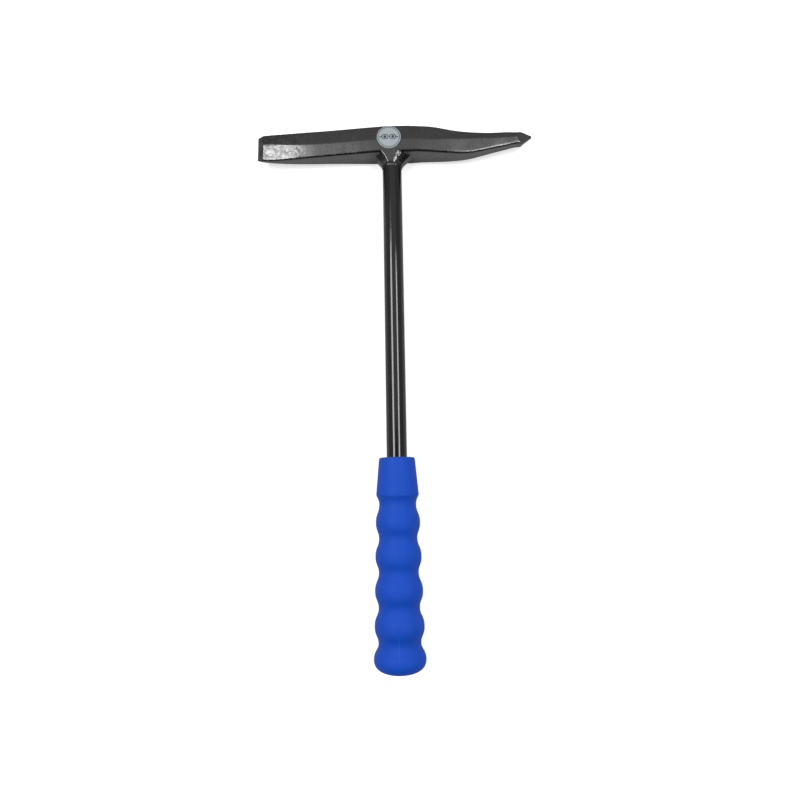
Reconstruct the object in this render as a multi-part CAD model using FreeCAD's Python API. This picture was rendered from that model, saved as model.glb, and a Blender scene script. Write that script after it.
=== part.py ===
"""Two-ended forged hammer with a cross chisel, a swept pick, a steel tube handle and a ribbed vinyl grip.

Millimetres.  The hammer lies flat: +X from the chisel edge to the pick point, +Y from the butt of the
grip to the top of the head, +Z up through the thickness.  The origin is at the middle of the bounding
box in X and Y, on the level of the lowest point.

The shapes are drawn in working coordinates first: X and Z measured from the handle's axis and Y measured
from the butt end.  place() moves a finished shape into the frame above.
"""
import FreeCAD, Part
import math
import os

V = FreeCAD.Vector

# Handle tube
TUBE_R = 6.0
TUBE_BORE_R = 4.0
TUBE_FOOT_Y = 5.0
TUBE_TOP_Y = 302.35

# Head: reach of each arm from the handle's axis, and the block over the neck with its flat top
CHISEL_REACH = 85.45
PICK_REACH = 89.55
HEAD_TOP_Y = 327.1
HEAD_UNDER_Y = 309.0
CORE_LEFT = -4.0
CORE_RIGHT = 10.0
CORE_HALF_DEPTH = 7.55
CORE_RIDGE_Y = 316.65

# The flanks of the head lean out to a ridge along the middle of each arm
DRAFT = 0.085

# Chisel arm, from the handle outwards: x, top, ridge, underside, half depth, draft; the last is the
# bevel's root
CHISEL_STATIONS = [
    (-10.0, 326.72, 316.55, 308.9, 7.5, 0.085),
    (-22.0, 326.3, 316.35, 308.64, 6.62, 0.09),
    (-44.0, 325.7, 315.75, 308.05, 5.0, 0.1),
    (-66.0, 325.4, 316.95, 307.35, 3.15, 0.112),
    (-81.65, 325.2, 318.45, 307.97, 1.8, 0.118),
]
CHISEL_EDGE_HALF_DEPTH = 0.2
CHISEL_TOP_CORNER = 1.2
CHISEL_UNDER_CORNER = 0.45

# Pick arm, from the handle outwards: x, top, ridge, underside, half depth
PICK_STATIONS = [
    (14.0, 326.9, 316.65, 309.15, 7.55),
    (24.0, 326.6, 316.5, 309.16, 6.88),
    (30.0, 325.9, 316.85, 308.9, 6.4),
    (37.0, 324.65, 317.4, 308.73, 5.8),
    (47.0, 323.8, 318.15, 308.96, 4.7),
    (56.0, 323.45, 318.75, 310.6, 4.05),
    (66.0, 323.62, 319.25, 313.02, 3.52),
    (75.0, 324.03, 319.95, 315.1, 3.1),
    (82.2, 324.25, 320.5, 316.0, 2.85),
]
# The pick's point: top and bottom are ground from the last station, the two cheeks from a little before it
PICK_POINT_Y = 321.6
PICK_POINT_HALF = 0.6
CHEEK_START_X = 80.0
CHEEK_START_HALF = 3.2
CHEEK_END_HALF = 0.55

# Neck, from its foot up: y, left, right, half depth, and the half widths of its flat sides: the front one
# to the left and to the right of the handle's axis, then the two end ones
NECK_SECTIONS = [
    (TUBE_TOP_Y, 6.3, 6.3, 6.4, 2.4, 1.9, 2.0),
    (303.75, 6.95, 7.05, 6.7, 2.9, 2.3, 2.1),
    (305.35, 8.2, 8.4, 6.95, 3.6, 3.4, 2.4),
    (307.25, 9.5, 10.4, 7.2, 4.7, 5.0, 2.8),
    (309.35, 11.1, 12.6, 7.45, 6.2, 6.9, 3.4),
    (311.75, 12.6, 14.3, CORE_HALF_DEPTH, 8.6, 9.4, 4.4),
]
# Dressed flat along the right edge of the neck's front and back: share of the front's width, and its fall
NECK_FLAT_SHARE = 0.26
NECK_FLAT_FALL = 0.27
SPIGOT_R = 3.95
SPIGOT_LENGTH = 16.0

# Weld between the neck and the tube
BEAD_COUNT = 14
BEAD_BALL_R = 3.6
BEAD_RING_R = 2.9
BEAD_DROP = 0.2

# Grip
GRIP_RIM_Y = 118.95
GRIP_RIM_R = 10.62
GRIP_RIM_ROUND = 1.0
COLLAR_FOOT_Y = 97.2
COLLAR_FOOT_R = 12.48
GROOVE_COUNT = 5
GROOVE_PITCH = 19.0
FIRST_GROOVE_Y = 91.8
FIRST_GROOVE_R = 10.74
GROOVE_STEP_R = 0.325
CREST_DROP = 10.1
FIRST_CREST_R = 12.83
CREST_STEP_R = 0.43
GROOVE_EASE = 0.45
CREST_EASE = 0.55
BUTT_CREST_Y = 7.1
BUTT_CREST_R = 14.75
BUTT_SIDE_FULLNESS = 0.8
BUTT_END_FULLNESS = 0.59

# Round label
LABEL_R = 7.5
LABEL_X = -1.65
LABEL_Y = 318.5
LABEL_THICKNESS = 0.2

CENTRE_X = (PICK_REACH - CHISEL_REACH) / 2.0
CENTRE_Y = HEAD_TOP_Y / 2.0


def place(shape):
    """Move a shape from the working coordinates into the part's frame."""
    moved = shape.copy()
    moved.translate(V(-CENTRE_X, -CENTRE_Y, BUTT_CREST_R))
    return moved


def closed_wire(points):
    return Part.makePolygon(points + [points[0]])


def rod(radius, low_y, high_y):
    """Round bar on the handle's axis between two levels."""
    return Part.makeCylinder(radius, high_y - low_y, V(0, low_y, 0), V(0, 1, 0))


def head_section(x, top, ridge, under, half_depth, draft=DRAFT):
    """Section across an arm: two drafted flanks each side, chamfered above and doubly chamfered below."""
    over = 0.2 + 0.12 * half_depth
    below = 0.85 + 0.035 * half_depth
    swell = half_depth + draft * 0.5 * (top - under)
    outline = [
        (top, half_depth - over),
        (top - over, half_depth),
        (ridge, swell),
        (under + 1.2 * below, half_depth),
        (under + 0.55 * below, half_depth - 0.25 * below),
        (under, half_depth - below),
    ]
    front = [V(x, y, z) for y, z in outline]
    back = [V(p.x, p.y, -p.z) for p in reversed(front)]
    return closed_wire(front + back)


def end_section(x, top, under, half_depth):
    """Thin section at a ground tip, with the same number of corners as head_section."""
    corner = 0.3 * half_depth
    middle = (top + under) / 2.0
    outline = [
        (top, half_depth - corner),
        (top - corner, half_depth),
        (middle, half_depth),
        (under + 1.2 * corner, half_depth),
        (under + 0.55 * corner, half_depth - 0.25 * corner),
        (under, half_depth - corner),
    ]
    front = [V(x, y, z) for y, z in outline]
    back = [V(p.x, p.y, -p.z) for p in reversed(front)]
    return closed_wire(front + back)


def core_section(x):
    return head_section(x, HEAD_TOP_Y, CORE_RIDGE_Y, HEAD_UNDER_Y, CORE_HALF_DEPTH)


def chisel_arm():
    """Left arm: full height, thinning to the ground edge."""
    sections = [core_section(CORE_LEFT)] + [head_section(*station) for station in CHISEL_STATIONS]
    root_top, root_under = CHISEL_STATIONS[-1][1], CHISEL_STATIONS[-1][3]
    edge = end_section(
        -CHISEL_REACH,
        root_top - CHISEL_TOP_CORNER,
        root_under + CHISEL_UNDER_CORNER,
        CHISEL_EDGE_HALF_DEPTH,
    )
    arm = Part.makeLoft(sections, True, False)
    bevel = Part.makeLoft([sections[-1], edge], True, True)
    return arm.fuse(bevel)


def pick_arm():
    """Right arm: tapers in both directions and sweeps up to a four-sided point."""
    sections = [core_section(CORE_RIGHT)] + [head_section(*station) for station in PICK_STATIONS]
    point = end_section(
        PICK_REACH,
        PICK_POINT_Y + PICK_POINT_HALF,
        PICK_POINT_Y - PICK_POINT_HALF,
        PICK_POINT_HALF,
    )
    arm = Part.makeLoft(sections, True, False)
    tip = Part.makeLoft([sections[-1], point], True, True)
    return arm.fuse(tip).cut(cheek_waste(1.0)).cut(cheek_waste(-1.0))


def cheek_waste(side):
    """What is ground away beside the pick's point: side is 1 for the front cheek and -1 for the back."""
    wide = CORE_HALF_DEPTH * 2.0
    slope = (CHEEK_START_HALF - CHEEK_END_HALF) / (PICK_REACH - CHEEK_START_X)
    start_x = CHEEK_START_X - 2.0
    end_x = PICK_REACH + 1.0
    outline = [
        V(start_x, 0, side * (CHEEK_START_HALF + 2.0 * slope)),
        V(end_x, 0, side * (CHEEK_END_HALF - slope)),
        V(end_x, 0, side * wide),
        V(start_x, 0, side * wide),
    ]
    return Part.Face(closed_wire(outline)).extrude(V(0, 2.0 * HEAD_TOP_Y, 0))


def head_core():
    """Straight block over the neck, with the flat top that lines up with the handle."""
    return Part.Face(core_section(CORE_LEFT)).extrude(V(CORE_RIGHT - CORE_LEFT, 0, 0))


def neck_section(y, left, right, depth, front_left, front_right, side_flat):
    """Ten-sided section across the neck."""
    flat = NECK_FLAT_SHARE * (front_left + front_right)
    front = [
        (-left, side_flat),
        (-front_left, depth),
        (front_right - flat, depth),
        (front_right, depth - NECK_FLAT_FALL * flat),
        (right, side_flat),
    ]
    back = [(x, -z) for x, z in reversed(front)]
    return closed_wire([V(x, y, z) for x, z in front + back])


def neck():
    """Flared boss that carries the handle, from the tube's top end up into the head."""
    flare = Part.makeLoft([neck_section(*section) for section in NECK_SECTIONS], True, True)
    spigot = rod(SPIGOT_R, TUBE_TOP_Y - SPIGOT_LENGTH, TUBE_TOP_Y)
    return flare.fuse(spigot)


def hammer_head():
    head = head_core()
    for piece in (chisel_arm(), pick_arm(), neck()):
        head = head.fuse(piece)
    return head.removeSplitter()


def handle_tube():
    outside = rod(TUBE_R, TUBE_FOOT_Y, TUBE_TOP_Y)
    bore = rod(TUBE_BORE_R, TUBE_FOOT_Y - 1.0, TUBE_TOP_Y + 1.0)
    return outside.cut(bore)


def weld_bead():
    """Ring of overlapping weld ripples under the neck, lying on the tube."""
    level = TUBE_TOP_Y - BEAD_DROP
    share = 360.0 / BEAD_COUNT
    axis = V(0, 1, 0)
    sector = Part.makeCylinder(10.0, 10.0, V(0, TUBE_TOP_Y - 10.0, 0), axis, share)
    sector.rotate(V(0, 0, 0), axis, -share / 2.0)
    ripple = Part.makeSphere(BEAD_BALL_R, V(0, level, BEAD_RING_R), axis).common(sector)
    ripple = ripple.cut(rod(TUBE_R, level - 10.0, level + 10.0))
    ring = []
    for i in range(BEAD_COUNT):
        turned = ripple.copy()
        turned.rotate(V(0, 0, 0), axis, share * i)
        ring.append(turned)
    return ring[0].multiFuse(ring[1:])


def bezier(*poles):
    curve = Part.BezierCurve()
    curve.setPoles([V(r, y, 0) for y, r in poles])
    return curve.toShape()


def line(start, end):
    return Part.makeLine(V(start[1], start[0], 0), V(end[1], end[0], 0))


def wave(start, end, start_ease, end_ease):
    """Half a ripple between two levels, flat at both ends.  Each end is (y, radius)."""
    run = end[0] - start[0]
    return bezier(start, (start[0] + run * start_ease, start[1]), (end[0] - run * end_ease, end[1]), end)


def groove(i):
    return (FIRST_GROOVE_Y - GROOVE_PITCH * i, FIRST_GROOVE_R + GROOVE_STEP_R * i)


def crest(i):
    if i == GROOVE_COUNT - 1:
        return (BUTT_CREST_Y, BUTT_CREST_R)
    return (groove(i)[0] - CREST_DROP, FIRST_CREST_R + CREST_STEP_R * i)


def grip():
    """Dipped-over vinyl grip: cone collar, finger bulges growing towards a domed butt, blind bore."""
    rim_inside = (GRIP_RIM_Y, TUBE_R)
    rim_flat = (GRIP_RIM_Y, GRIP_RIM_R - GRIP_RIM_ROUND)
    rim_side = (GRIP_RIM_Y - GRIP_RIM_ROUND, GRIP_RIM_R)
    foot_start = (COLLAR_FOOT_Y + 0.7, COLLAR_FOOT_R - 0.05)
    foot_end = (COLLAR_FOOT_Y - 0.7, COLLAR_FOOT_R - 0.3)
    edges = [
        line(rim_inside, rim_flat),
        bezier(rim_flat, (GRIP_RIM_Y, GRIP_RIM_R - 0.4), (GRIP_RIM_Y - 0.4, GRIP_RIM_R), rim_side),
        line(rim_side, foot_start),
        bezier(foot_start, (COLLAR_FOOT_Y, COLLAR_FOOT_R + 0.02), foot_end),
        bezier(
            foot_end,
            (COLLAR_FOOT_Y - 2.0, FIRST_GROOVE_R + 0.5),
            (COLLAR_FOOT_Y - 3.3, FIRST_GROOVE_R),
            groove(0),
        ),
    ]
    for i in range(GROOVE_COUNT):
        edges.append(wave(groove(i), crest(i), GROOVE_EASE, CREST_EASE))
        if i < GROOVE_COUNT - 1:
            edges.append(wave(crest(i), groove(i + 1), CREST_EASE, GROOVE_EASE))
    edges.append(
        bezier(
            (BUTT_CREST_Y, BUTT_CREST_R),
            (BUTT_CREST_Y * (1.0 - BUTT_SIDE_FULLNESS), BUTT_CREST_R),
            (0.0, BUTT_CREST_R * BUTT_END_FULLNESS),
            (0.0, 0.0),
        )
    )
    edges.append(line((0.0, 0.0), (TUBE_FOOT_Y, 0.0)))
    edges.append(line((TUBE_FOOT_Y, 0.0), (TUBE_FOOT_Y, TUBE_R)))
    edges.append(line((TUBE_FOOT_Y, TUBE_R), rim_inside))
    profile = Part.Face(Part.Wire(edges))
    return profile.revolve(V(0, 0, 0), V(0, 1, 0), 360)


def label_disc(head):
    """Thin round film that follows the flank of the head."""
    skin = head.copy()
    skin.translate(V(0, 0, LABEL_THICKNESS))
    blank = Part.makeCylinder(LABEL_R, 20.0, V(LABEL_X, LABEL_Y, 0), V(0, 0, 1))
    return skin.common(blank).cut(head)


os.makedirs("parts", exist_ok=True)
head = hammer_head()
place(head).exportStep("parts/hammer_head.step")
place(handle_tube()).exportStep("parts/handle_tube.step")
place(weld_bead()).exportStep("parts/weld_bead.step")
place(grip()).exportStep("parts/grip.step")
place(label_disc(head)).exportStep("parts/label_disc.step")
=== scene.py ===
"""Looks of the two-ended chipping hammer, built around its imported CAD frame.

Everything is in metres in the row frame: X along the head from chisel to pick, Y along the handle from
butt to head, Z up with the hammer lying flat.  A name that ends in _MM is in millimetres.
"""
import math

import bmesh
import bpy
import numpy as np
from mathutils import Matrix, Vector, noise
from mathutils.bvhtree import BVHTree

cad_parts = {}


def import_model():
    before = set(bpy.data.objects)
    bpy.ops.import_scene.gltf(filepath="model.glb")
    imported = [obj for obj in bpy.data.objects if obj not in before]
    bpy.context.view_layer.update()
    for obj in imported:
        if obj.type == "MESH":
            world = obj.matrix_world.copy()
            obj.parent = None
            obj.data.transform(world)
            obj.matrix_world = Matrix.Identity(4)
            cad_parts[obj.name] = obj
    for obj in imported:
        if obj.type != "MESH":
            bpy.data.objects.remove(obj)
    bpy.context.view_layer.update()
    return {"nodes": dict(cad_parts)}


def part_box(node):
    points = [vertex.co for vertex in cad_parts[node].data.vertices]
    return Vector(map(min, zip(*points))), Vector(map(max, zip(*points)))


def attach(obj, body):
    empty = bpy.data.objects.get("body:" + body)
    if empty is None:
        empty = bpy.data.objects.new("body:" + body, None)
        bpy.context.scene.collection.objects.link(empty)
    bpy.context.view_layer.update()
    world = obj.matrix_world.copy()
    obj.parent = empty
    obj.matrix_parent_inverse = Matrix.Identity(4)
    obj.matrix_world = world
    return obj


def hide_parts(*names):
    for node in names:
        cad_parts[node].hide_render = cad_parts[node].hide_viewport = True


MM = 0.001
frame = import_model()

# ---------------------------------------------------------------- places read from the frame
tube_low, tube_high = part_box("handle_tube")
grip_low, grip_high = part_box("grip")
head_low, head_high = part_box("hammer_head")
label_low, label_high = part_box("label_disc")
AXIS_X = (tube_low.x + tube_high.x) / 2
AXIS_Z = (tube_low.z + tube_high.z) / 2
TUBE_R = (tube_high.x - tube_low.x) / 2
TUBE_WALL_MM = 2.0
TUBE_BORE_R = TUBE_R - TUBE_WALL_MM * MM
NECK_FOOT_Y = tube_high.y
BUTT_Y = grip_low.y
RIM_Y = grip_high.y

# ---------------------------------------------------------------- camera, measured from the handle's axis
CAMERA_TILT = math.radians(8.7)
CAMERA_ROLL = math.radians(1.02)
CAMERA_DISTANCE_MM = 339.5
CAMERA_AIM_X_MM = 2.43
CAMERA_AIM_FROM_BUTT_MM = 153.05
FOCAL_IN_FRAMES = 0.7125
SENSOR_MM = 36.0


def new_object(name, mesh):
    thing = bpy.data.objects.new(name, mesh)
    bpy.context.scene.collection.objects.link(thing)
    return thing


def mesh_from(name, points, faces, smooth=True):
    mesh = bpy.data.meshes.new(name)
    mesh.from_pydata([tuple(p) for p in points], [], [tuple(f) for f in faces])
    mesh.validate()
    mesh.update()
    mesh.polygons.foreach_set("use_smooth", [smooth] * len(mesh.polygons))
    return mesh


def points_of(mesh):
    flat = np.zeros(len(mesh.vertices) * 3, np.float32)
    mesh.vertices.foreach_get("co", flat)
    return flat.reshape(-1, 3).astype(float)


def normals_of(mesh):
    flat = np.zeros(len(mesh.vertices) * 3, np.float32)
    mesh.vertices.foreach_get("normal", flat)
    return flat.reshape(-1, 3).astype(float)


def set_points(mesh, points):
    mesh.vertices.foreach_set("co", points.astype(np.float32).ravel())
    mesh.update()


def set_attribute(mesh, name, values):
    layer = mesh.attributes.get(name) or mesh.attributes.new(name, "FLOAT", "POINT")
    layer.data.foreach_set("value", np.asarray(values, np.float32))


def smoothstep(value, low, high):
    share = np.clip((value - low) / (high - low), 0.0, 1.0)
    return share * share * (3.0 - 2.0 * share)


# ---------------------------------------------------------------- node helpers
class Shader:
    """A small wrapper that builds one Principled material from nodes."""

    def __init__(self, name):
        self.material = bpy.data.materials.new(name)
        self.material.use_nodes = True
        self.tree = self.material.node_tree
        self.tree.nodes.clear()
        self.out = self.tree.nodes.new("ShaderNodeOutputMaterial")
        self.shader = self.tree.nodes.new("ShaderNodeBsdfPrincipled")
        self.tree.links.new(self.shader.outputs[0], self.out.inputs[0])
        self.place = self.tree.nodes.new("ShaderNodeTexCoord").outputs["Object"]

    def link(self, source, target):
        """A socket is linked, anything else is the target's value."""
        if hasattr(source, "links"):
            self.tree.links.new(source, target)
        else:
            target.default_value = source

    def set(self, **sockets):
        """Values or links for the shader's sockets, with _ for a space in the name."""
        for name, value in sockets.items():
            self.link(value, self.shader.inputs[name.replace("_", " ")])

    def stretched(self, x=1.0, y=1.0, z=1.0):
        node = self.tree.nodes.new("ShaderNodeMapping")
        self.tree.links.new(self.place, node.inputs["Vector"])
        node.inputs["Scale"].default_value = (x, y, z)
        return node.outputs[0]

    def noise(self, per_metre, detail=2.0, rough=0.5, vector=None):
        node = self.tree.nodes.new("ShaderNodeTexNoise")
        node.inputs["Scale"].default_value = per_metre
        node.inputs["Detail"].default_value = detail
        node.inputs["Roughness"].default_value = rough
        self.tree.links.new(vector or self.place, node.inputs["Vector"])
        return node.outputs["Fac"]

    def cells(self, per_metre):
        node = self.tree.nodes.new("ShaderNodeTexVoronoi")
        node.inputs["Scale"].default_value = per_metre
        self.tree.links.new(self.place, node.inputs["Vector"])
        return node.outputs["Distance"]

    def ramp(self, value, low, high, start=0.0, end=1.0):
        """Value mapped from low..high to start..end, held outside."""
        node = self.tree.nodes.new("ShaderNodeMapRange")
        node.interpolation_type = "SMOOTHSTEP"
        self.link(value, node.inputs["Value"])
        node.inputs["From Min"].default_value = low
        node.inputs["From Max"].default_value = high
        node.inputs["To Min"].default_value = start
        node.inputs["To Max"].default_value = end
        return node.outputs[0]

    def math(self, operation, a, b=0.0):
        node = self.tree.nodes.new("ShaderNodeMath")
        node.operation = operation
        self.link(a, node.inputs[0])
        self.link(b, node.inputs[1])
        return node.outputs[0]

    def mix(self, share, first, second):
        node = self.tree.nodes.new("ShaderNodeMix")
        node.data_type = "RGBA"
        self.link(share, node.inputs["Factor"])
        for value, name in ((first, "A"), (second, "B")):
            socket = [s for s in node.inputs if s.name == name and s.type == "RGBA"][0]
            self.link(value if hasattr(value, "links") else (*value, 1.0), socket)
        return [s for s in node.outputs if s.type == "RGBA"][0]

    def attribute(self, name):
        node = self.tree.nodes.new("ShaderNodeAttribute")
        node.attribute_name = name
        return node.outputs["Fac"]

    def bump(self, height, depth_mm, before=None):
        node = self.tree.nodes.new("ShaderNodeBump")
        node.inputs["Strength"].default_value = 1.0
        node.inputs["Distance"].default_value = depth_mm * MM
        self.link(height, node.inputs["Height"])
        if before is not None:
            self.tree.links.new(before, node.inputs["Normal"])
        return node.outputs[0]


# ---------------------------------------------------------------- materials
def head_lacquer():
    """Black lacquer: uneven gloss where the skin is beaten, grinding marks on the bevel and the point."""
    s = Shader("head_lacquer")
    ground = s.attribute("ground")
    forged = s.math("SUBTRACT", 1.0, ground)
    clouds = s.noise(180.0, 4.0, 0.6)
    streaks = s.noise(1.0, 3.0, 0.6, s.stretched(700.0, 160.0, 160.0))
    skin = s.noise(2600.0, 3.0, 0.65)
    beaten = s.attribute("hammered")
    hammered = s.math("MULTIPLY", s.noise(380.0, 1.0, 0.5), beaten)
    pits = s.ramp(s.cells(900.0), 0.0, 0.35, 1.0, 0.0)
    grind = s.noise(1.0, 2.0, 0.6, s.stretched(400.0, 5200.0, 400.0))
    colour = s.mix(s.ramp(streaks, 0.3, 0.75), (0.0006, 0.0006, 0.0007), (0.0055, 0.0055, 0.0057))
    colour = s.mix(s.attribute("wear"), colour, (0.16, 0.16, 0.165))
    patchy = s.ramp(s.noise(480.0, 1.5, 0.5), 0.36, 0.64, -0.14, 0.09)
    rough = s.math("ADD", s.ramp(clouds, 0.25, 0.8, 0.26, 0.33), s.math("MULTIPLY", patchy, beaten))
    bump = s.bump(s.math("MULTIPLY", hammered, forged), 0.06)
    bump = s.bump(s.math("MULTIPLY", skin, forged), 0.008, bump)
    bump = s.bump(s.math("MULTIPLY", pits, s.math("MULTIPLY", forged, -1.0)), 0.008, bump)
    bump = s.bump(s.math("MULTIPLY", grind, ground), 0.012, bump)
    s.set(
        Base_Color=colour,
        Roughness=rough,
        IOR=1.5,
        Specular_IOR_Level=0.8,
        Coat_Weight=0.55,
        Coat_Roughness=0.1,
        Coat_IOR=1.5,
        Normal=bump,
        Coat_Normal=bump,
    )
    return s.material


def tube_lacquer():
    """Smooth gloss lacquer with a faint orange peel and specks of dust."""
    s = Shader("tube_lacquer")
    clouds = s.noise(120.0, 3.0, 0.6, s.stretched(1.0, 0.25, 1.0))
    peel = s.noise(1500.0, 2.0, 0.5)
    dust = s.ramp(s.noise(3200.0, 2.0, 0.5), 0.71, 0.78)
    colour = s.mix(s.ramp(clouds, 0.35, 0.7), (0.002, 0.002, 0.0021), (0.005, 0.005, 0.0052))
    colour = s.mix(s.math("MULTIPLY", dust, 0.5), colour, (0.07, 0.07, 0.07))
    rough = s.ramp(clouds, 0.3, 0.75, 0.07, 0.16)
    s.set(Base_Color=colour, Roughness=rough, IOR=1.5, Normal=s.bump(peel, 0.006))
    return s.material


def weld_lacquer():
    """The same lacquer over fine spatter."""
    s = Shader("weld_lacquer")
    spatter = s.noise(1800.0, 4.0, 0.65)
    colour = s.mix(s.ramp(spatter, 0.4, 0.7), (0.003, 0.003, 0.003), (0.012, 0.012, 0.012))
    s.set(Base_Color=colour, Roughness=0.2, IOR=1.5, Normal=s.bump(spatter, 0.05))
    return s.material


def grip_vinyl():
    """Satin blue vinyl, paler along the rubbed mould seam and in faint scuffs."""
    s = Shader("grip_vinyl")
    clouds = s.noise(60.0, 4.0, 0.6)
    fine = s.noise(5200.0, 2.0, 0.5)
    scuff = s.ramp(s.noise(900.0, 4.0, 0.7, s.stretched(1.0, 0.35, 1.0)), 0.66, 0.76)
    seam = s.attribute("seam")
    colour = s.mix(clouds, (0.0038, 0.0535, 0.395), (0.0049, 0.0602, 0.426))
    pale = s.math("MAXIMUM", s.math("MULTIPLY", scuff, 0.05), s.math("MULTIPLY", seam, 0.12))
    colour = s.mix(pale, colour, (0.12, 0.24, 0.62))
    rough = s.ramp(clouds, 0.3, 0.75, 0.58, 0.66)
    s.set(
        Base_Color=colour,
        Roughness=rough,
        IOR=1.46,
        Specular_IOR_Level=0.18,
        Normal=s.bump(fine, 0.012),
    )
    return s.material


def label_film():
    """Pale blue-grey sticker."""
    s = Shader("label_film")
    clouds = s.noise(300.0, 3.0, 0.6)
    colour = s.mix(clouds, (0.262, 0.302, 0.322), (0.302, 0.34, 0.36))
    s.set(Base_Color=colour, Roughness=0.38, IOR=1.45, Normal=s.bump(s.noise(2500.0), 0.004))
    return s.material


def printed_ink(name, per_metre, low, dark, light):
    """Printing ink that is a little faded in clouds."""
    s = Shader(name)
    fade = s.noise(per_metre, 3.0, 0.6)
    s.set(Base_Color=s.mix(s.ramp(fade, low, 0.7), dark, light), Roughness=0.42, IOR=1.45)
    return s.material


def label_ink():
    return printed_ink("label_ink", 1500.0, 0.35, (0.02, 0.028, 0.033), (0.045, 0.056, 0.062))


def ring_ink():
    return printed_ink("ring_ink", 900.0, 0.3, (0.105, 0.117, 0.123), (0.145, 0.158, 0.165))


# ---------------------------------------------------------------- head
REMESH_MM = 0.335
EDGE_ROUNDS = 3
SETTLE_ROUNDS = 2
# Skin this near to the solid's faces is drawn back onto them; beyond the second figure it is left alone
FLAT_MM = 0.015
EASED_MM = 0.05
# Lengths of the ground bevel and the ground point
BEVEL_MM = 4.0
POINT_MM = 8.4
# The beaten skin fades out between these distances from the chisel edge, down to a trace
BEATEN_MM = 22.0
SMOOTH_MM = 36.0
BEATEN_SHARE = 0.85
# Depths of the waviness, of the hammer dents and of the coarse dressing on the neck
WAVE_MM = 0.05
DENT_MM = 0.05
DRESSING_MM = 0.2


def neighbour_means(mesh, points):
    """Mean of each vertex's neighbours."""
    edges = np.zeros(len(mesh.edges) * 2, np.int32)
    mesh.edges.foreach_get("vertices", edges)
    a, b = edges.reshape(-1, 2).T
    total = np.zeros_like(points)
    count = np.zeros(len(points))
    for one, other in ((a, b), (b, a)):
        np.add.at(total, one, points[other])
        np.add.at(count, one, 1.0)
    return total / np.maximum(count, 1.0)[:, None]


def settle(mesh):
    """Flats of the skin drawn back onto the solid's own faces; only the eased edges stay off them."""
    solid = frame["nodes"]["hammer_head"].data
    tree = BVHTree.FromPolygons([v.co for v in solid.vertices], [p.vertices for p in solid.polygons])
    points = points_of(mesh)
    for i, p in enumerate(points):
        near, _, _, away = tree.find_nearest(Vector(p))
        near = np.array(near)
        points[i] = near + (p - near) * smoothstep(away / MM, FLAT_MM, EASED_MM)
    for _ in range(SETTLE_ROUNDS):
        points = (points + neighbour_means(mesh, points)) / 2.0
    set_points(mesh, points)


def forging():
    """The whole forging: skinned from the CAD solid, edges eased, then beaten and dressed."""
    rough = new_object("head_work", frame["nodes"]["hammer_head"].data.copy())
    stitched = bmesh.new()
    stitched.from_mesh(rough.data)
    bmesh.ops.remove_doubles(stitched, verts=stitched.verts, dist=1e-6)
    stitched.to_mesh(rough.data)
    stitched.free()
    skin = rough.modifiers.new("skin", "REMESH")
    skin.mode = "VOXEL"
    skin.voxel_size = REMESH_MM * MM
    ease = rough.modifiers.new("ease", "SMOOTH")
    ease.factor = 0.5
    ease.iterations = EDGE_ROUNDS
    bpy.context.view_layer.update()
    done = rough.evaluated_get(bpy.context.evaluated_depsgraph_get())
    mesh = bpy.data.meshes.new_from_object(done)
    bpy.data.objects.remove(rough)
    mesh.name = "head_forging"
    mesh.polygons.foreach_set("use_smooth", [True] * len(mesh.polygons))
    settle(mesh)

    points = points_of(mesh)
    normals = normals_of(mesh)
    from_edge = points[:, 0] - head_low.x
    from_point = head_high.x - points[:, 0]
    ground = 1.0 - smoothstep(from_edge, (BEVEL_MM - 0.3) * MM, (BEVEL_MM + 0.1) * MM)
    ground = np.maximum(
        ground, 1.0 - smoothstep(from_point, (POINT_MM - 0.3) * MM, (POINT_MM + 0.3) * MM)
    )
    hidden = points[:, 1] < NECK_FOOT_Y + 0.3 * MM
    hammered = 1.0 - BEATEN_SHARE * smoothstep(from_edge, BEATEN_MM * MM, SMOOTH_MM * MM)
    dressed = neck_dressing(points)
    lift = np.zeros(len(points))
    for i, p in enumerate(points):
        if hidden[i]:
            continue
        wave = noise.noise(Vector(p) * 110.0)
        dent = noise.voronoi(Vector(p) * 260.0 + Vector((3.0, 7.0, 1.0)))[0]
        lift[i] = WAVE_MM * wave - DENT_MM * hammered[i] * smoothstep(dent[0], 0.5, 0.0)
        if dressed[i] > 0.0:
            lift[i] += DRESSING_MM * dressed[i] * (noise.noise(Vector(p) * 700.0) - 0.3)
    lift *= (1.0 - ground) * MM
    set_points(mesh, np.clip(points + normals * lift[:, None], head_low, head_high))
    set_attribute(mesh, "ground", ground)
    set_attribute(mesh, "hammered", hammered)
    set_attribute(mesh, "wear", edge_wear(mesh, hidden))
    return new_object("head_forging", mesh)


def neck_dressing(points):
    """1 on the coarsely dressed right-hand edges of the neck's front and back, fading to 0 round them."""
    from_foot = points[:, 1] - NECK_FOOT_Y
    from_axis = points[:, 0] - AXIS_X
    dressed = smoothstep(from_foot, 0.8 * MM, 2.0 * MM) * (1.0 - smoothstep(from_foot, 8.0 * MM, 9.5 * MM))
    dressed *= smoothstep(from_axis, 0.5 * MM, 1.5 * MM) * (1.0 - smoothstep(from_axis, 7.0 * MM, 9.0 * MM))
    return dressed * smoothstep(np.abs(points[:, 2] - AXIS_Z), 3.0 * MM, 5.0 * MM)


def edge_wear(mesh, hidden):
    """0 to 1 where the lacquer has rubbed off the sharpest edges, broken up by noise."""
    points = points_of(mesh)
    normals = normals_of(mesh)
    sharp = np.einsum("ij,ij->i", points - neighbour_means(mesh, points), normals) / MM
    worn = smoothstep(sharp, 0.045, 0.08)
    for i in np.nonzero(worn > 0.0)[0]:
        worn[i] *= smoothstep(noise.noise(Vector(points[i]) * 700.0), 0.05, 0.5)
    worn[hidden] = 0.0
    return worn


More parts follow.
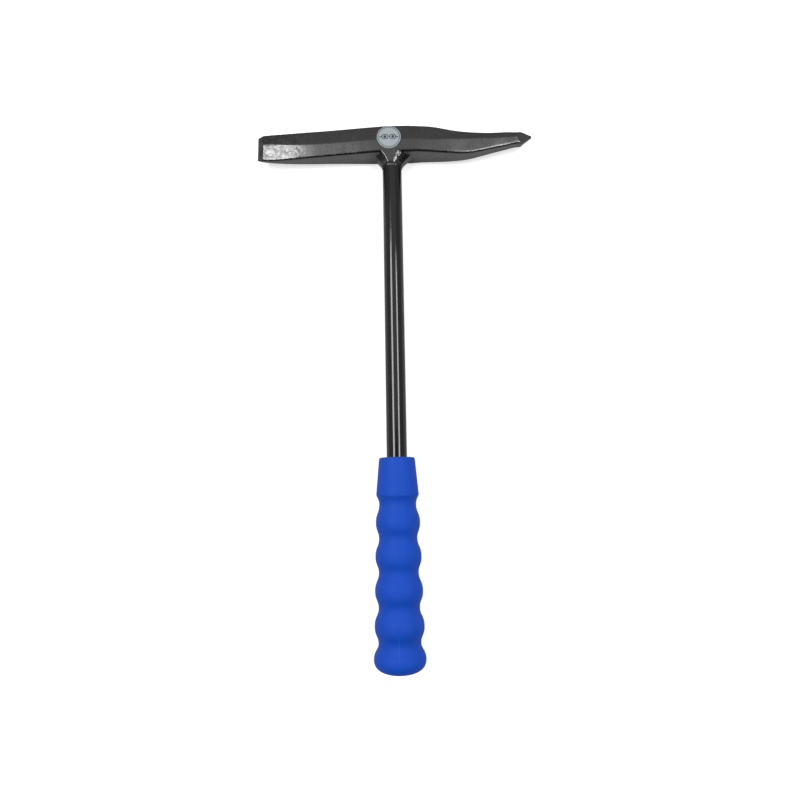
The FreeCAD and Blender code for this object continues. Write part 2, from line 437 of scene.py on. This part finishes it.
# ---------------------------------------------------------------- pieces round the handle's axis
def turned(name, profile, steps, swell):
    """Closed profile of (y, radius) turned about the handle's axis.

    swell(y, angles, radius) is what is added to the radius at each angle.
    """
    turn = np.arange(steps) * 2.0 * math.pi / steps
    points = []
    for y, radius in profile:
        radii = np.full(steps, radius) + swell(y, turn, radius)
        for angle, r in zip(turn, radii):
            points.append((AXIS_X + r * math.sin(angle), y, AXIS_Z + r * math.cos(angle)))
    faces = []
    rows = len(profile)
    for row in range(rows):
        below = row * steps
        above = ((row + 1) % rows) * steps
        for i in range(steps):
            j = (i + 1) % steps
            faces.append((below + i, below + j, above + j, above + i))
    return mesh_from(name, points, faces)


def outer_line(node, step_mm, ease_rounds):
    """Outside of a turned CAD node as evenly spaced (y, radius), from its closed end to its open end."""
    points = points_of(frame["nodes"][node].data)
    radius = np.hypot(points[:, 0] - AXIS_X, points[:, 2] - AXIS_Z)
    low_end = points[:, 1] < points[:, 1].min() + 2.0 * MM
    keep = low_end | (radius > TUBE_R + 0.02 * MM)
    y, radius = np.round(points[keep, 1], 6), radius[keep]
    levels = np.unique(y)
    widest = np.array([radius[y == level].max() for level in levels])
    along = np.concatenate([[0.0], np.cumsum(np.hypot(np.diff(levels), np.diff(widest)))])
    even = np.arange(0.0, along[-1], step_mm * MM)
    line_y = np.interp(even, along, levels)
    line_r = np.interp(even, along, widest)
    for _ in range(ease_rounds):
        line_y[1:-1] = (line_y[:-2] + 2.0 * line_y[1:-1] + line_y[2:]) / 4.0
        line_r[1:-1] = (line_r[:-2] + 2.0 * line_r[1:-1] + line_r[2:]) / 4.0
    return list(zip(line_y, line_r))


def tube():
    low, high = tube_low.y, tube_high.y
    outside = [(y, TUBE_R) for y in np.linspace(low, high, 300)]
    inside = [(y, TUBE_BORE_R) for y in (high, (low + high) / 2, low)]

    def swell(y, turn, radius):
        if radius < TUBE_R - 0.5 * MM:
            return np.zeros_like(turn)
        wander = [noise.noise(Vector((y * 60.0, math.sin(t) * 0.8, math.cos(t) * 0.8))) for t in turn]
        return 0.012 * MM * (np.array(wander) - 0.6)

    return new_object("tube_lacquered", turned("tube_lacquered", outside + inside, 128, swell))


SEAM_ANGLE = math.radians(-2.0)
SEAM_HEIGHT_MM = 0.05
SEAM_HALF_WIDTH_MM = 0.35
RIM_LIP_MM = 0.5


def grip():
    """Moulded vinyl grip with its two mould seams, slight sag marks and a softened rim."""
    outside = outer_line("grip", 0.5, 2)
    outside[0] = (BUTT_Y, 0.001 * MM)
    bore = [
        (RIM_Y, outside[-1][1] - 0.9 * MM),
        (RIM_Y, TUBE_R + RIM_LIP_MM * MM),
        (RIM_Y - RIM_LIP_MM * MM, TUBE_R),
        (tube_low.y + 40.0 * MM, TUBE_R),
        (tube_low.y, TUBE_R),
        (tube_low.y, 0.001 * MM),
    ]

    def seam_share(turn, radius):
        share = np.zeros_like(turn)
        for angle in (SEAM_ANGLE, SEAM_ANGLE + math.pi):
            away = np.abs((turn - angle + math.pi) % (2.0 * math.pi) - math.pi) * radius / MM
            share = np.maximum(share, 1.0 - smoothstep(away, 0.0, SEAM_HALF_WIDTH_MM))
        return share

    def swell(y, turn, radius):
        if radius < TUBE_R + 1.0 * MM:
            return np.zeros_like(turn)
        sag = [noise.noise(Vector((y * 45.0, math.sin(t) * 1.3, math.cos(t) * 1.3))) for t in turn]
        return (0.03 * (np.array(sag) - 1.0) + SEAM_HEIGHT_MM * (seam_share(turn, radius) - 1.0)) * MM

    mesh = turned("grip_moulded", outside + bore, 240, swell)
    points = points_of(mesh)
    turn = np.arctan2(points[:, 0] - AXIS_X, points[:, 2] - AXIS_Z)
    radius = np.hypot(points[:, 0] - AXIS_X, points[:, 2] - AXIS_Z)
    share = np.array([seam_share(np.array([t]), r)[0] for t, r in zip(turn, radius)])
    from_butt = (points[:, 1] - BUTT_Y) / MM
    rubbed = smoothstep(from_butt, 8.0, 12.0) * (1.0 - smoothstep(from_butt, 19.0, 24.0))
    rubbed = 0.12 + 0.88 * rubbed
    set_attribute(mesh, "seam", share * rubbed * (radius > TUBE_R + 1.0 * MM))
    return new_object("grip_moulded", mesh)


BEAD_RIPPLES = 15


def bead():
    """Painted weld bead: overlapping ripples round the tube, dying out on the tube below the neck."""
    bead_low, bead_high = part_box("weld_bead")
    proud = (bead_high.x - bead_low.x) / 2 - TUBE_R
    root = TUBE_R - 0.05 * MM
    rows, steps = 14, 360
    points, faces = [], []
    for row in range(rows):
        share = row / (rows - 1)
        for i in range(steps):
            turn = 2.0 * math.pi * i / steps
            phase = (turn * BEAD_RIPPLES / (2.0 * math.pi) + 0.35 * math.sin(3.0 * turn)) % 1.0
            ripple = 1.0 - 0.35 * (2.0 * phase - 1.0) ** 2
            edge = 0.25 * noise.noise(Vector((math.cos(turn), math.sin(turn), 4.0)) * 2.2)
            foot = bead_low.y + (0.35 + edge) * MM + 0.35 * MM * (2.0 * phase - 1.0) ** 2
            y = foot + (bead_high.y - foot) * share
            rise = math.sqrt(max(0.0, 1.0 - (1.0 - share) ** 2))
            r = root + proud * rise * ripple * 0.98
            points.append((AXIS_X + r * math.sin(turn), y, AXIS_Z + r * math.cos(turn)))
    for row in range(rows - 1):
        for i in range(steps):
            j = (i + 1) % steps
            faces.append((row * steps + i, row * steps + j, (row + 1) * steps + j, (row + 1) * steps + i))
    inner = len(points)
    for y in (bead_high.y, bead_low.y + 0.4 * MM):
        for i in range(steps):
            turn = 2.0 * math.pi * i / steps
            points.append((AXIS_X + root * math.sin(turn), y, AXIS_Z + root * math.cos(turn)))
    for i in range(steps):
        j = (i + 1) % steps
        top = (rows - 1) * steps
        faces.append((top + i, top + j, inner + j, inner + i))
        faces.append((inner + i, inner + j, inner + steps + j, inner + steps + i))
        faces.append((inner + steps + i, inner + steps + j, j, i))
    return new_object("weld_ripples", mesh_from("weld_ripples", points, faces))


# ---------------------------------------------------------------- label
def draped(name, outline_rings, tree, lift_mm, skirt=False):
    """Rings of (x, y) points laid on the surface found by tree, lifted by lift_mm."""
    points, faces = [], []
    steps = len(outline_rings[0])
    for ring in outline_rings:
        for x, y in ring:
            hit = tree.ray_cast(Vector((x, y, 1.0)), Vector((0.0, 0.0, -1.0)))[0]
            points.append((x, y, hit.z + lift_mm * MM))
    for row in range(len(outline_rings) - 1):
        for i in range(steps):
            j = (i + 1) % steps
            faces.append((row * steps + i, row * steps + j, (row + 1) * steps + j, (row + 1) * steps + i))
    if skirt:
        base = len(points)
        last = (len(outline_rings) - 1) * steps
        for i in range(steps):
            x, y, z = points[last + i]
            points.append((x, y, z - (lift_mm + 0.05) * MM))
        for i in range(steps):
            j = (i + 1) % steps
            faces.append((last + i, last + j, base + j, base + i))
    return mesh_from(name, points, faces)


def circle(x, y, radius, steps, squash=1.0, power=2.0):
    """Round or squarish outline; power 2 is an ellipse."""
    ring = []
    for i in range(steps):
        turn = 2.0 * math.pi * i / steps
        c, s = math.cos(turn), math.sin(turn)
        ring.append(
            (
                x + radius * math.copysign(abs(c) ** (2.0 / power), c),
                y + radius * squash * math.copysign(abs(s) ** (2.0 / power), s),
            )
        )
    return ring


# Height of the film's face and of the print above the forging
FILM_MM = 0.17
INK_MM = 0.185
# Goggles, as shares of the label's radius
LENS_X = 0.33
RIM_R = 0.29
GLASS_R = 0.13


def label_pieces(surface):
    """Pale film, a printed ring and a plain pair of goggles."""
    tree = BVHTree.FromPolygons([v.co for v in surface.vertices], [p.vertices for p in surface.polygons])
    cx = (label_low.x + label_high.x) / 2
    cy = (label_low.y + label_high.y) / 2
    radius = (label_high.x - label_low.x) / 2

    rings = [circle(cx, cy, radius * r, 144) for r in np.linspace(0.004, 0.999, 40)]
    film = new_object("label_film", draped("label_film", rings, tree, FILM_MM, skirt=True))

    border = [circle(cx, cy, radius * r, 144) for r in np.linspace(0.845, 0.94, 5)]
    ring = new_object("label_ring", draped("label_ring", border, tree, INK_MM))

    marks = []
    for side in (-1.0, 1.0):
        lens_x = cx + side * LENS_X * radius
        rim = [circle(lens_x, cy, RIM_R * radius * r, 48, 0.85, 2.6) for r in np.linspace(0.74, 1.0, 4)]
        marks.append(draped("rim", rim, tree, INK_MM))
        glass = [circle(lens_x, cy, GLASS_R * radius * r, 32) for r in np.linspace(0.02, 1.0, 5)]
        marks.append(draped("glass", glass, tree, INK_MM))
        along = np.linspace(0.62, 0.8, 8)
        strap = [
            [(cx + side * radius * s, cy + radius * (0.045 * t - 0.12 * (s - 0.62))) for s in along]
            for t in (-1.0, -0.3, 0.3, 1.0)
        ]
        marks.append(strip("strap", strap, tree))
    bridge = [
        [(cx + radius * s, cy + radius * (0.035 * t + 0.03)) for s in np.linspace(-0.06, 0.06, 6)]
        for t in (-1.0, 0.0, 1.0)
    ]
    marks.append(strip("bridge", bridge, tree))
    joined = bmesh.new()
    for mesh in marks:
        joined.from_mesh(mesh)
        bpy.data.meshes.remove(mesh)
    mesh = bpy.data.meshes.new("label_goggles")
    joined.to_mesh(mesh)
    joined.free()
    return film, ring, new_object("label_goggles", mesh)


def strip(name, rows, tree):
    """Open patch of rows of (x, y) points laid on the surface."""
    points, faces = [], []
    wide = len(rows[0])
    for row in rows:
        for x, y in row:
            hit = tree.ray_cast(Vector((x, y, 1.0)), Vector((0.0, 0.0, -1.0)))[0]
            points.append((x, y, hit.z + INK_MM * MM))
    for row in range(len(rows) - 1):
        for i in range(wide - 1):
            a = row * wide + i
            faces.append((a, a + 1, a + wide + 1, a + wide))
    mesh = mesh_from(name, points, faces)
    if mesh.polygons[0].normal.z < 0.0:
        mesh.flip_normals()
    return mesh


# ---------------------------------------------------------------- stage
def lowest_point(node):
    points = points_of(frame["nodes"][node].data)
    return points[points[:, 2].argmin()]


FLOOR_HALF = 3.0
# The floor's own glow, as seen and as it falls on dull surfaces; mirror-like ones don't show it
GLOW_TO_CAMERA = 0.69
GLOW_ON_PAINT = 0.42


def floor():
    """Pale floor, tipped so that the butt bulge and the back of the head both rest on it."""
    foot = lowest_point("grip")
    heel = lowest_point("hammer_head")
    rise = math.atan2(heel[2] - foot[2], heel[1] - foot[1])
    corners = []
    for x, along in ((-1, -1), (1, -1), (1, 1), (-1, 1)):
        corners.append(
            (
                x * FLOOR_HALF,
                foot[1] + along * FLOOR_HALF * math.cos(rise),
                foot[2] + along * FLOOR_HALF * math.sin(rise) - 0.02 * MM,
            )
        )
    thing = new_object("floor", mesh_from("floor", corners, [(0, 1, 2, 3)]))
    s = Shader("floor_white")
    path = s.tree.nodes.new("ShaderNodeLightPath")
    glow = s.ramp(path.outputs["Is Camera Ray"], 0.0, 1.0, GLOW_ON_PAINT, GLOW_TO_CAMERA)
    mirrored = s.ramp(path.outputs["Is Glossy Ray"], 0.0, 1.0, 1.0, 0.0)
    s.set(
        Base_Color=(0.52, 0.52, 0.52, 1.0),
        Roughness=0.9,
        Emission_Color=(1.0, 1.0, 1.0, 1.0),
        Emission_Strength=s.math("MULTIPLY", glow, mirrored),
    )
    thing.data.materials.append(s.material)


# Two soft boxes: their height above the handle, their brightness as seen, and for each its name, where it
# is along X from the handle and along Y, and its width and length
LIGHT_HEIGHT = 0.8
LIGHT_RADIANCE = 10.5
LIGHTS = [
    ("strip_left", -0.495, 0.1475, 0.33, 0.715),
    ("strip_right", 0.488, 0.125, 0.256, 0.67),
]


def strip_light(name, x, y, wide, long):
    """Soft box facing straight down."""
    lamp = bpy.data.lights.new(name, "AREA")
    lamp.shape = "RECTANGLE"
    lamp.size, lamp.size_y = wide, long
    lamp.energy = LIGHT_RADIANCE * math.pi * wide * long
    thing = new_object(name, lamp)
    thing.location = (AXIS_X + x, y, AXIS_Z + LIGHT_HEIGHT)


def world():
    """Pale grey to the camera; for light and reflections a soft pale room, dark round the lens."""
    scene = bpy.context.scene
    scene.world = bpy.data.worlds.new("studio")
    scene.world.use_nodes = True
    tree = scene.world.node_tree
    tree.nodes.clear()
    out = tree.nodes.new("ShaderNodeOutputWorld")
    back = tree.nodes.new("ShaderNodeBackground")
    place = tree.nodes.new("ShaderNodeTexCoord")
    split = tree.nodes.new("ShaderNodeSeparateXYZ")
    tree.links.new(place.outputs["Generated"], split.inputs[0])

    def ramp(value, low, high, start, end):
        node = tree.nodes.new("ShaderNodeMapRange")
        node.interpolation_type = "SMOOTHSTEP"
        tree.links.new(value, node.inputs["Value"])
        for name, number in (("From Min", low), ("From Max", high), ("To Min", start), ("To Max", end)):
            node.inputs[name].default_value = number
        return node.outputs[0]

    def times(a, b):
        node = tree.nodes.new("ShaderNodeMath")
        node.operation = "MULTIPLY"
        tree.links.new(a, node.inputs[0])
        tree.links.new(b, node.inputs[1])
        return node.outputs[0]

    size = tree.nodes.new("ShaderNodeMath")
    size.operation = "ABSOLUTE"
    tree.links.new(split.outputs["X"], size.inputs[0])
    # The dark round the lens, which the front of the tube mirrors: narrow in X, and open above
    aside = ramp(size.outputs[0], 0.11, 0.23, 0.0, 1.0)
    above = ramp(split.outputs["Y"], 0.07, 0.13, 0.02, 1.0)
    lens_shade = tree.nodes.new("ShaderNodeMath")
    lens_shade.operation = "MAXIMUM"
    tree.links.new(aside, lens_shade.inputs[0])
    tree.links.new(above, lens_shade.inputs[1])
    # The room dims behind the camera, up the far wall and towards the sides
    behind_camera = ramp(split.outputs["Y"], -0.3, 0.02, 0.05, 1.0)
    far_wall = ramp(split.outputs["Y"], 0.4, 0.85, 1.0, 0.35)
    side_walls = ramp(size.outputs[0], 0.25, 0.75, 1.0, 0.55)
    sky = times(times(lens_shade.outputs[0], behind_camera), times(far_wall, side_walls))
    seen = tree.nodes.new("ShaderNodeLightPath").outputs["Is Camera Ray"]
    pick = tree.nodes.new("ShaderNodeMix")
    tree.links.new(seen, pick.inputs["Factor"])
    tree.links.new(sky, pick.inputs["A"])
    pick.inputs["B"].default_value = 1.0
    tree.links.new(pick.outputs["Result"], back.inputs["Strength"])
    tree.links.new(back.outputs[0], out.inputs[0])
    scene.view_settings.view_transform = "Standard"


def camera():
    lens = bpy.data.cameras.new("camera")
    lens.sensor_width = SENSOR_MM
    lens.lens = SENSOR_MM * FOCAL_IN_FRAMES
    lens.clip_start = 0.01
    thing = new_object("camera", lens)
    aim = Vector((AXIS_X + CAMERA_AIM_X_MM * MM, BUTT_Y + CAMERA_AIM_FROM_BUTT_MM * MM, AXIS_Z))
    back = Vector((0.0, -math.sin(CAMERA_TILT), math.cos(CAMERA_TILT)))
    up = Vector((0.0, math.cos(CAMERA_TILT), math.sin(CAMERA_TILT)))
    right = Vector((1.0, 0.0, 0.0))
    c, s = math.cos(CAMERA_ROLL), math.sin(CAMERA_ROLL)
    across = c * right - s * up
    upward = s * right + c * up
    turn = Matrix((across, upward, back)).transposed().to_4x4()
    turn.translation = aim + back * CAMERA_DISTANCE_MM * MM
    thing.matrix_world = turn
    bpy.context.scene.camera = thing


# ---------------------------------------------------------------- assembly
camera()
floor()
world()
for light in LIGHTS:
    strip_light(*light)


def finish_piece(piece, material, slot, *nodes):
    piece.data.materials.clear()
    piece.data.materials.append(material)
    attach(piece, "root")
    if nodes:
        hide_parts(*nodes)


head_piece = forging()
finish_piece(head_piece, head_lacquer(), "head_lacquer", "hammer_head")
finish_piece(tube(), tube_lacquer(), "tube_lacquer", "handle_tube")
finish_piece(bead(), weld_lacquer(), "weld_lacquer", "weld_bead")
finish_piece(grip(), grip_vinyl(), "grip_vinyl", "grip")
film_piece, ring_piece, goggles_piece = label_pieces(head_piece.data)
finish_piece(film_piece, label_film(), "label_film", "label_disc")
finish_piece(ring_piece, ring_ink(), "label_film")
finish_piece(goggles_piece, label_ink(), "label_film")
